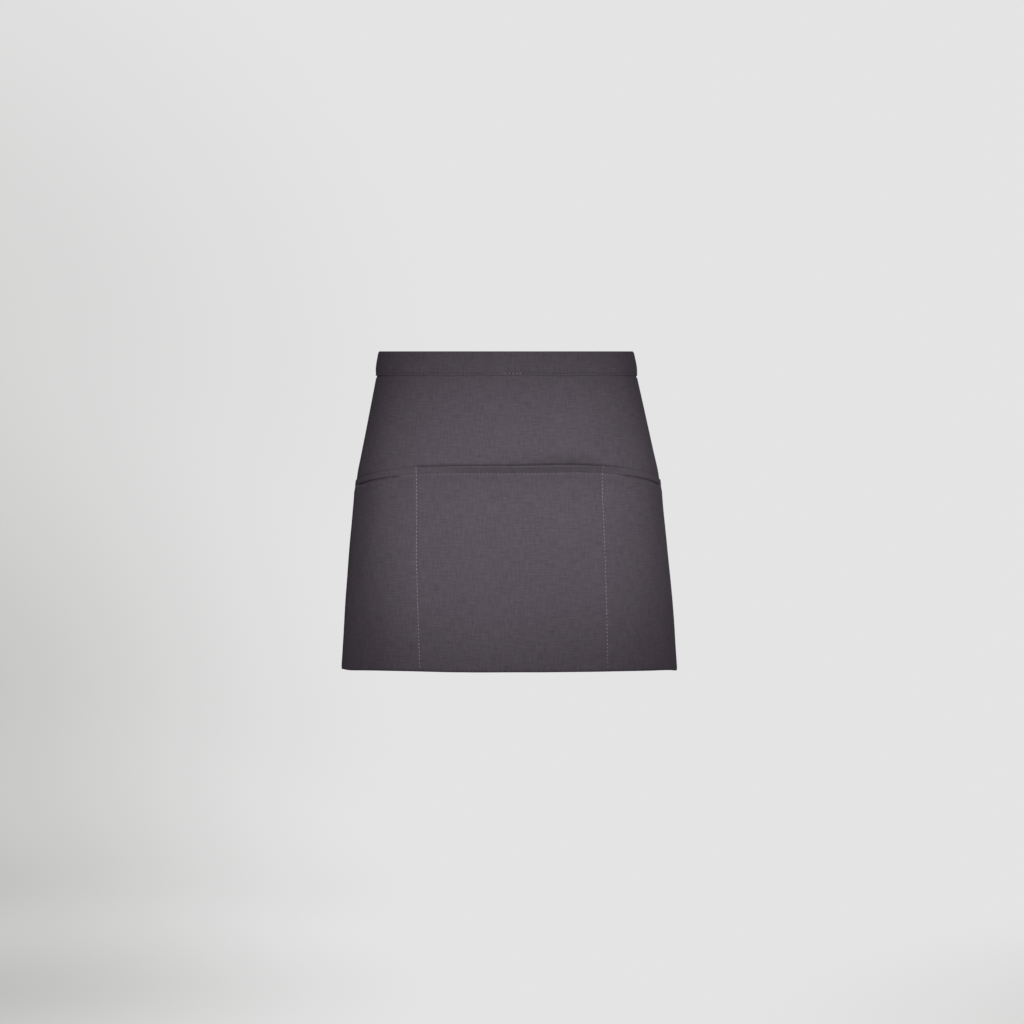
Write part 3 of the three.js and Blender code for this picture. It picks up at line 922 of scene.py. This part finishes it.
def tie(name, side):
    """One tie, gathered at the knot, with a slight curl that grows towards its free end."""
    route, along, knot = tie_route()
    aside, drop = route.T
    gathered = np.exp(-(((along - knot - GATHER["past_knot"]) / GATHER["length"]) ** 2))
    free = smooth((along - knot - CURL["past_knot"]) / CURL["growth"])
    lift = CURL["height"] * free * np.sin(along / CURL["length"] + side) - CLOTH / 2
    rail = back_at(side, aside, drop, lift)
    ahead = np.gradient(route, along, axis=0)
    across = EDGE_REACH * np.stack([-ahead[:, 1], ahead[:, 0]], axis=1)
    edge = back_at(side, aside + across[:, 0], drop + across[:, 1], lift + CURL["roll"] * free)
    hang = (edge - rail) / EDGE_REACH * (1 - (1 - GATHER["width"]) * gathered)[:, None]
    out = (back_at(side, aside, drop, lift + 1.0) - rail) * (1 + GATHER["thicken"] * gathered)[:, None]
    return strip_along(name, rail, out, hang, along, flat_tube)


flat_tube = section_object("tie_section", tie_section())
ties = {"tie_left": tie("tie_left_cloth", 1), "tie_right": tie("tie_right_cloth", -1)}
bpy.data.objects.remove(flat_tube)
print("ties:", {name: len(piece.data.polygons) for name, piece in ties.items()}, "faces")

# %% [markdown]
# ## The knot
# The ties meet in a flat knot: a gathered lump that they go into from both sides, and one turn of tie drawn
# tight round its middle. A knot could be modelled strand by strand, but the strands inside it never show. So
# the lump is a closed oval with shallow creases that run into the turn, and the turn is a strip again, on a
# path that closes on itself.

# %% Knot
KNOT = {"half_width": 17.0, "half_height": 10.0, "depth": 5.4, "middle": 3.2}
FULLNESS = {"middle": 0.72, "swell": 0.5, "taper": 0.42}
KNOT_CREASES = {"height": (0.08, 0.05), "count": (5, 9), "twist": (2.2, -3.1), "start": (0.0, 1.3)}
KNOT_WEAVE = 8.0  # millimetres of cloth that a radian round the knot takes
MERGE_WITHIN = 0.02


def knot_lump():
    """The gathered lump: rings of points round the line from tie to tie, with creases along it."""
    stations = np.sin(np.linspace(-np.pi / 2, np.pi / 2, 45))
    turns = np.linspace(0, 2 * np.pi, 49)[:-1]
    t, turn = np.meshgrid(stations, turns, indexing="ij")
    full = FULLNESS["middle"] + FULLNESS["swell"] * np.abs(t) - FULLNESS["taper"] * t**2
    creases = sum(height * np.cos(count * turn + twist * t + start)
                  for height, count, twist, start in zip(*KNOT_CREASES.values()))
    ring = np.sqrt(1 - t**4) * full * (1 + creases)
    aside = KNOT["half_width"] * t
    drop = TIE_LEVEL + KNOT["half_height"] * ring * np.sin(turn)
    lift = KNOT["middle"] + KNOT["depth"] * ring * np.cos(turn)
    index = np.arange(t.size).reshape(t.shape)
    after = np.roll(index, -1, axis=1)
    quads = np.stack([index[:-1], index[1:], after[1:], after[:-1]], axis=-1).reshape(-1, 4)
    uv = np.stack([aside, KNOT_WEAVE * turn], axis=-1)
    return cloth_object("knot_lump", back_at(1, aside, drop, lift), quads, uv, charcoal)


def close_and_turn_out(piece):
    """Merges the points at both poles of a closed shape and turns its faces outwards."""
    shape = bmesh.new()
    shape.from_mesh(piece.data)
    bmesh.ops.remove_doubles(shape, verts=shape.verts, dist=MERGE_WITHIN * MM)
    bmesh.ops.recalc_face_normals(shape, faces=shape.faces)
    shape.to_mesh(piece.data)
    shape.free()
    return piece


lump = close_and_turn_out(knot_lump())
print("knot:", len(lump.data.polygons), "faces")

# %% The turn round the knot
TURN = {"half_width": 6.6, "half_height": 8.0, "depth": 4.3, "lean": 2.6, "dome": 0.7, "half_thick": 0.8}
TURN_RIDGE = {"height": 0.12, "per_mm": 1.7, "start": 1.0, "sink": 0.1}
TURN_COLUMN_STEP = 0.9


def turn_section():
    """The turn in section: domed across, with a slight ridge and thin edges."""
    across = places(-TURN["half_width"], TURN["half_width"], TURN_COLUMN_STEP)
    dome = TURN["dome"] * np.cos(np.pi / 2 * across / TURN["half_width"])
    ridge = TURN_RIDGE["height"] * np.cos(across * TURN_RIDGE["per_mm"] + TURN_RIDGE["start"])
    return both_faces(across, dome + ridge - TURN_RIDGE["sink"], TURN["half_thick"] * rounded(across))


loop = np.linspace(0, 2 * np.pi, 73)[:-1]
loop_drop = TIE_LEVEL + TURN["half_height"] * np.sin(loop)
loop_lift = KNOT["middle"] + TURN["depth"] * np.cos(loop)
turn_rail = back_at(1, np.zeros(len(loop)), loop_drop, loop_lift)
turn_rail[:, 0] += TURN["lean"] * np.sin(loop)
turn_out = turn_rail - turn_rail.mean(axis=0)
turn_out = turn_out / np.linalg.norm(turn_out, axis=1, keepdims=True)
turn_hang = np.tile([1.0, 0.0, 0.0], (len(loop), 1))
domed = section_object("turn_section", turn_section())
turn = strip_along("knot_turn", turn_rail, turn_out, turn_hang, KNOT_WEAVE * loop, domed, closed=True)
bpy.data.objects.remove(domed)
print("turn:", len(turn.data.polygons), "faces")

# %% [markdown]
# ## Stitches
# A lockstitch shows as short loops of thread that come up out of the cloth and go down again, one after
# another along a line. A bump in the material would look flat from the side, and an Array modifier follows
# only one line. Geometry Nodes follow each line with even points, put one loop on each, turned to the line
# and to the cloth, and make the loops a little uneven with a fixed seed.

# %% The node tree for a line of stitches
STITCH_PITCH = 3.55
STITCH_LENGTH = 2.2
THREAD_RADIUS = 0.30
SUNK = -0.9  # the ends and the top of a loop, in radii of the thread
RISEN = 1.7
ASKEW = 0.07  # how far a loop is turned from its line at most, in radians
UNEVEN = (0.92, 1.06)  # the smallest and the largest scale of a loop


def stitch_tree():
    """Loops of thread along the lines that the tree is given. Each point of a line carries `out`."""
    tree, given, result = new_tree("stitches_along_lines", {
        "Pitch": "NodeSocketFloat", "Length": "NodeSocketFloat", "Radius": "NodeSocketFloat",
        "Seed": "NodeSocketInt", "Material": "NodeSocketMaterial"})
    path = add_node(tree, "GeometryNodeMeshToCurve", {"Mesh": given.outputs["Geometry"]})
    even = add_node(tree, "GeometryNodeResampleCurve", {
        "Curve": path.outputs["Curve"], "Length": given.outputs["Pitch"]}, mode="LENGTH")
    half = add_node(tree, "ShaderNodeMath", {0: given.outputs["Length"], 1: 0.5}, operation="MULTIPLY")
    back = add_node(tree, "ShaderNodeMath", {0: half.outputs[0], 1: -1.0}, operation="MULTIPLY")
    sunk = add_node(tree, "ShaderNodeMath", {0: given.outputs["Radius"], 1: SUNK}, operation="MULTIPLY")
    risen = add_node(tree, "ShaderNodeMath", {0: given.outputs["Radius"], 1: RISEN}, operation="MULTIPLY")
    start = add_node(tree, "ShaderNodeCombineXYZ", {"X": back.outputs[0], "Z": sunk.outputs[0]})
    top = add_node(tree, "ShaderNodeCombineXYZ", {"Z": risen.outputs[0]})
    end = add_node(tree, "ShaderNodeCombineXYZ", {"X": half.outputs[0], "Z": sunk.outputs[0]})
    bow = add_node(tree, "GeometryNodeCurveQuadraticBezier", {
        "Resolution": 4, "Start": start.outputs[0], "Middle": top.outputs[0], "End": end.outputs[0]})
    thread = add_node(tree, "GeometryNodeCurvePrimitiveCircle", {
        "Resolution": 6, "Radius": given.outputs["Radius"]})
    loop = add_node(tree, "GeometryNodeCurveToMesh", {
        "Curve": bow.outputs["Curve"], "Profile Curve": thread.outputs["Curve"], "Fill Caps": True})
    stitch = add_node(tree, "GeometryNodeSetShadeSmooth", {"Geometry": loop.outputs["Mesh"]})
    away = add_node(tree, "GeometryNodeInputNamedAttribute", {"Name": "out"}, data_type="FLOAT_VECTOR")
    ahead = add_node(tree, "GeometryNodeInputTangent")
    facing = add_node(tree, "FunctionNodeAxesToRotation", {
        "Primary Axis": ahead.outputs[0], "Secondary Axis": away.outputs[0]},
        primary_axis="X", secondary_axis="Z")
    askew = add_node(tree, "FunctionNodeRandomValue", {
        2: -ASKEW, 3: ASKEW, "Seed": given.outputs["Seed"]}, data_type="FLOAT")
    twist = add_node(tree, "ShaderNodeCombineXYZ", {"Z": askew.outputs[1]})
    twisted = add_node(tree, "FunctionNodeEulerToRotation", {"Euler": twist.outputs[0]})
    turned = add_node(tree, "FunctionNodeRotateRotation", {
        "Rotation": facing.outputs[0], "Rotate By": twisted.outputs[0]}, rotation_space="LOCAL")
    uneven = add_node(tree, "FunctionNodeRandomValue", {
        2: UNEVEN[0], 3: UNEVEN[1], "Seed": given.outputs["Seed"]}, data_type="FLOAT")
    sewn = add_node(tree, "GeometryNodeInstanceOnPoints", {
        "Points": even.outputs["Curve"], "Instance": stitch.outputs["Geometry"],
        "Rotation": turned.outputs[0], "Scale": uneven.outputs[1]})
    whole = add_node(tree, "GeometryNodeRealizeInstances", {"Geometry": sewn.outputs[0]})
    add_material = add_node(tree, "GeometryNodeSetMaterial", {
        "Geometry": whole.outputs[0], "Material": given.outputs["Material"]})
    tree.links.new(add_material.outputs[0], result.inputs["Geometry"])
    return tree


stitching = stitch_tree()
print("stitch tree:", len(stitching.nodes), "nodes")

# %% [markdown]
# ## Where the apron is sewn
# Each line is given in cloth millimetres on the face that it shows on: the front of the pocket panel, of
# the skirt or of the band, and the inner side of each. Curves could be drawn by hand, but places on the cloth
# follow every wave of the face. All the lines of one thread on one side become one piece.

# %% Faces that carry stitches
HEM_THREAD_DEPTH = 0.22


def on_skirt(around, drop):
    """The front of the skirt."""
    return relief(around, drop) + shoulder(around, drop)


def in_skirt(around, drop):
    """The inner side of the skirt."""
    return relief(around, drop) - CLOTH - side_hem(around, drop)


def on_pocket(around, drop):
    """The front of the pocket panel."""
    sewn = MOUTH + MOUTH_HEM
    layers = np.interp(drop, (sewn, sewn + SETTLE_LENGTH), (2 * FOLD_RADIUS, 0.0))
    stand = pocket_stand(around, drop) - crease(around, drop)
    return AIR + CLOTH + layers + stand + relief(around, drop)


def on_hem(around, drop):
    """The front of the bottom hem, where the thread lies deep in the cloth."""
    return on_pocket(around, drop) - HEM_THREAD_DEPTH


def on_band(around, drop):
    """The front of the waistband."""
    return np.full_like(around, CLOTH + AIR - GROOVE_DEPTH)


def in_band(around, drop):
    """The inner side of the waistband."""
    return np.full_like(around, -2 * CLOTH - AIR + GROOVE_DEPTH)


mouth_out = on_pocket(np.zeros(1), np.full(1, MOUTH))[0]
print(f"the pocket mouth stands {mouth_out:.1f} mm out at the centre front")

# %% Lines of stitching
LINE_STEP = 2.0
EDGE_GAP = 1.0  # a line of stitching stops this far before an edge
BAND_GAP = 3.0
SIDE_GAP = 2.0
DIVIDER_ENDS = (MOUTH + 0.3, HEM_SEWN - 3.0)
# the stretch of the band's stitching drawn in the thread's own pale grey; to each side it is drawn in the
# dark copy, which is painted shade
BAND_PALE_STRETCH = (-5.0, 13.0)


def line_between(start, end):
    """Even places along a line on the cloth, from (around, drop) to (around, drop)."""
    count = int(np.hypot(end[0] - start[0], end[1] - start[1]) / LINE_STEP) + 2
    return np.linspace(start, end, count).T


def line_across(drop, edge, gap):
    """Even places across the cloth at a drop, which end at a gap before each side edge."""
    return line_between((gap - edge, drop), (edge - gap, drop))


def divider_line(side):
    """Even places along the stitching between two pockets."""
    drop = np.arange(*DIVIDER_ENDS, LINE_STEP)
    return divider(side, drop), drop


mouth_around = np.arange(EDGE_GAP - POCKET_SIDE, POCKET_SIDE - EDGE_GAP, LINE_STEP)
band_line = line_across(BAND_SEWN, BAND_END, BAND_GAP)
pale_band_stretch = line_between((BAND_PALE_STRETCH[0], BAND_SEWN), (BAND_PALE_STRETCH[1], BAND_SEWN))
front_grey = [(on_pocket, (mouth_around, mouth_seam(mouth_around)))]
front_pale = [(on_pocket, divider_line(side)) for side in ("left", "right")] + [(on_band, pale_band_stretch)]
front_dark = [(on_band, band_line), (on_hem, line_across(HEM_SEWN, POCKET_SIDE, EDGE_GAP))]
inside_pale = [(in_skirt, divider_line(side)) for side in ("left", "right")]
inside_dark = [(in_band, band_line), (in_skirt, line_across(HEM_SEWN, SIDE_EDGE, EDGE_GAP))]
for edge in (-SIDE_SEWN, SIDE_SEWN):
    below_band = (edge, BAND_HEIGHT + SIDE_GAP)
    front_dark.append((on_skirt, line_between(below_band, (edge, MOUTH - EDGE_GAP))))
    front_dark.append((on_pocket, line_between((edge, MOUTH + SIDE_GAP), (edge, HEM_SEWN))))
    inside_dark.append((in_skirt, line_between(below_band, (edge, HEM_SEWN))))
print("lines of stitching:", sum(map(len, (front_grey, front_pale, front_dark, inside_pale, inside_dark))))


# %% Sewing
def sew(name, lines, side, thread, seed):
    """One piece of stitches along all the lines of one thread on one side of the cloth.

    side is 1 in front and -1 on the inner side.
    """
    points, arrows, joins = [], [], []
    for face, (around, drop) in lines:
        lift = face(around, drop)
        first = sum(len(part) for part in points)
        here = cloth_at(around, drop, lift)
        points.append(here)
        arrows.append(side * (cloth_at(around, drop, lift + 1.0) - here))
        joins += [(first + i, first + i + 1) for i in range(len(around) - 1)]
    mesh = bpy.data.meshes.new(name)
    mesh.from_pydata((np.concatenate(points) * MM).tolist(), joins, [])
    arrow = mesh.attributes.new("out", "FLOAT_VECTOR", "POINT")
    arrow.data.foreach_set("vector", np.concatenate(arrows).astype(np.float32).ravel())
    piece = bpy.data.objects.new(name, mesh)
    bpy.context.scene.collection.objects.link(piece)
    return grow(piece, stitching, pitch=STITCH_PITCH * MM, length=STITCH_LENGTH * MM,
                radius=THREAD_RADIUS * MM, seed=seed, material=thread)


stitches = [
    sew("stitches_front_grey", front_grey, 1, grey_shaded_thread, 3),
    sew("stitches_front_pale", front_pale, 1, pale_thread, 5),
    sew("stitches_front_dark", front_dark, 1, dark_shaded_thread, 7),
    sew("stitches_inside_pale", inside_pale, -1, pale_thread, 9),
    sew("stitches_inside_dark", inside_dark, -1, dark_shaded_thread, 11),
]
print("stitches:", {piece.name: len(piece.data.polygons) for piece in stitches}, "faces")

# %% [markdown]
# ## What each piece stands for
# Every piece rides on the part's one body, and each cloth takes the place of its plain CAD solid.

# %% Pieces and the frame
for piece, node in ((skirt, "skirt_panel"), (pocket, "pocket_panel"), (waistband, "waistband"),
                    (ties["tie_left"], "tie_left"), (ties["tie_right"], "tie_right"), (lump, "tie_knot")):
    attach(piece, "root")
    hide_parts(node)
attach(turn, "root")
for piece in stitches:
    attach(piece, "root")
print("pieces:", len([skirt, pocket, waistband, *ties.values(), lump, turn, *stitches]))

# %% [markdown]
# ## Camera
# The photograph was taken from straight ahead with a long lens, level with the top of the waistband and
# tipped down a little. The image is 1024 pixels square. One picture can't tell the distance, so the camera
# stands at three metres and the lens is chosen to fit.

# %% Camera
IMAGE_SIZE = 1024
FOCAL_PIXELS = 3045.7
TOP_EDGE_ROW = 351.5
SENSOR = 36.0
CAMERA_PLACE = (0.0039, -3.0, 0.0)
camera_data = bpy.data.cameras.new("camera")
camera_data.sensor_width = SENSOR
camera_data.lens = FOCAL_PIXELS / IMAGE_SIZE * SENSOR
camera_data.clip_end = 50.0
camera = bpy.data.objects.new("camera", camera_data)
tip = math.atan((IMAGE_SIZE / 2 - TOP_EDGE_ROW) / FOCAL_PIXELS)
camera.location = CAMERA_PLACE
camera.rotation_euler = (math.pi / 2 - tip, 0.0, 0.0)
bpy.context.scene.collection.objects.link(camera)
bpy.context.scene.camera = camera
print("lens", round(camera_data.lens, 1), "mm, tipped down", round(math.degrees(tip), 2), "degrees")

# %% [markdown]
# ## Studio
# The backdrop is a pale sweep: a floor that curves up into a wall all round, so every view has the same
# plain ground. It only glows for the camera. The light on the apron comes from the lamps and a weak even
# sky, as in a studio where the backdrop is lit apart from the subject.

# %% Pale sweep
FLOOR_DEPTH = 1.05
FLOOR_RADII = (0.02, 1.5)
WALL_RADIUS = 6.0
SWEEP_RADIUS = 3.0
WALL_TOP = 5.0
DIM = {
    "middle": ((-1.0, 1.94, -1.05), (-1.3, 2.87, -0.99), (-1.64, 3.88, -0.64), (-2.32, 5.91, -0.7),
               (1.71, 1.48, -1.1)),
    "radius": (0.93, 1.18, 1.51, 2.5, 1.45),
}


def pale_sweep():
    """A bowl with a flat floor, a quarter-round and a wall."""
    turns = np.linspace(0, np.pi / 2, 24)
    profile = [(radius, -FLOOR_DEPTH) for radius in FLOOR_RADII]
    profile += [(WALL_RADIUS - SWEEP_RADIUS + SWEEP_RADIUS * math.sin(t),
                 -FLOOR_DEPTH + SWEEP_RADIUS * (1 - math.cos(t))) for t in turns]
    profile.append((WALL_RADIUS, WALL_TOP))
    angles = np.linspace(0, 2 * np.pi, 97)[:-1]
    points = [(r * math.cos(a), r * math.sin(a), z) for r, z in profile for a in angles]
    count = len(angles)
    faces = []
    for ring in range(0, (len(profile) - 1) * count, count):
        for k in range(count):
            after = (k + 1) % count
            faces.append((ring + k, ring + after, ring + count + after, ring + count + k))
    faces.append(tuple(range(count - 1, -1, -1)))
    mesh = bpy.data.meshes.new("pale_sweep")
    mesh.from_pydata(points, [], faces)
    mesh.shade_smooth()
    sweep = bpy.data.objects.new("pale_sweep", mesh)
    bpy.context.scene.collection.objects.link(sweep)
    return sweep


def backdrop_paper():
    """Pale grey paper, evenly lit but for soft dim patches down the left and a faint one low on the right."""
    material = bpy.data.materials.new("backdrop_paper")
    material.use_nodes = True
    tree = material.node_tree
    tree.nodes.remove(tree.nodes["Principled BSDF"])
    place = add_node(tree, "ShaderNodeTexCoord").outputs["Object"]
    bright = None
    for middle, radius in zip(DIM["middle"], DIM["radius"]):
        away = add_node(tree, "ShaderNodeVectorMath", {0: place, 1: middle}, operation="DISTANCE")
        share = add_node(tree, "ShaderNodeMapRange", {0: away.outputs["Value"], 1: 0.0, 2: radius},
                         interpolation_type="SMOOTHSTEP").outputs[0]
        bright = share if bright is None else add_node(
            tree, "ShaderNodeMath", {0: bright, 1: share}, operation="MULTIPLY").outputs[0]
    colour = add_node(tree, "ShaderNodeMix", {0: bright, 6: linear("#bcbcba"), 7: linear("#e4e4e4")},
                      data_type="RGBA")
    glow = add_node(tree, "ShaderNodeEmission", {"Color": colour.outputs[2], "Strength": 1.0})
    tree.links.new(glow.outputs[0], tree.nodes["Material Output"].inputs["Surface"])
    return material


sweep = pale_sweep()
sweep.data.materials.append(backdrop_paper())
sweep.visible_diffuse = False
sweep.visible_glossy = False
sweep.visible_shadow = False
print("sweep:", len(sweep.data.polygons), "faces")

# %% [markdown]
# ## Light
# One spot in front, high and a little to the right, lights the apron with a soft oval pool. The cloth is
# brightest at the middle pocket and falls off towards the band, the hem and the sides. An area lamp would
# light the sides as much as the front. A second spot stands behind, for views of the back, and a weak even
# sky fills the shadows.

# %% Lamps and sky
bpy.context.scene.view_settings.view_transform = "Standard"
SKY = 0.168
LAMPS = {
    "name": ("key_spot", "back_spot"),
    "place": ((0.45, -3.25, 0.95), (0.0, 3.2, 0.5)),
    "aim": ((0.002, -0.1, -0.152), (0.0, 0.0, -0.15)),
    "pool_radius": (0.225, 0.9),
    "pool_widening": (1.3, 1.0),
    "lens_radius": (0.1, 0.3),
    "watts": (328.0, 420.0),
}


def lamp(name, place, aim, pool_radius, pool_widening, lens_radius, watts):
    """A theatre spot with a soft edge: its pool of light fades out at a radius from where it is aimed.

    A scale across the beam makes the pool an oval, as barn doors or a lens would.
    """
    light = bpy.data.lights.new(name, "SPOT")
    light.energy = watts
    light.shadow_soft_size = lens_radius
    light.spot_blend = 1.0
    spot = bpy.data.objects.new(name, light)
    spot.location = place
    direction = np.array(aim) - np.array(place)
    light.spot_size = 2 * math.atan(pool_radius / np.linalg.norm(direction))
    across = math.atan2(direction[0], direction[1])
    rise = math.atan2(direction[2], math.hypot(direction[0], direction[1]))
    spot.rotation_euler = (math.pi / 2 + rise, 0.0, -across)
    spot.scale = (pool_widening, 1.0, 1.0)
    spot.visible_camera = False
    bpy.context.scene.collection.objects.link(spot)
    return spot


lamps = [lamp(*row) for row in zip(*LAMPS.values())]
world = bpy.data.worlds.new("even_sky")
world.use_nodes = True
sky = world.node_tree.nodes["Background"]
sky.inputs["Color"].default_value = linear("#fff7ff")
sky.inputs["Strength"].default_value = SKY
bpy.context.scene.world = world
print("lamps:", [spot.name for spot in lamps])
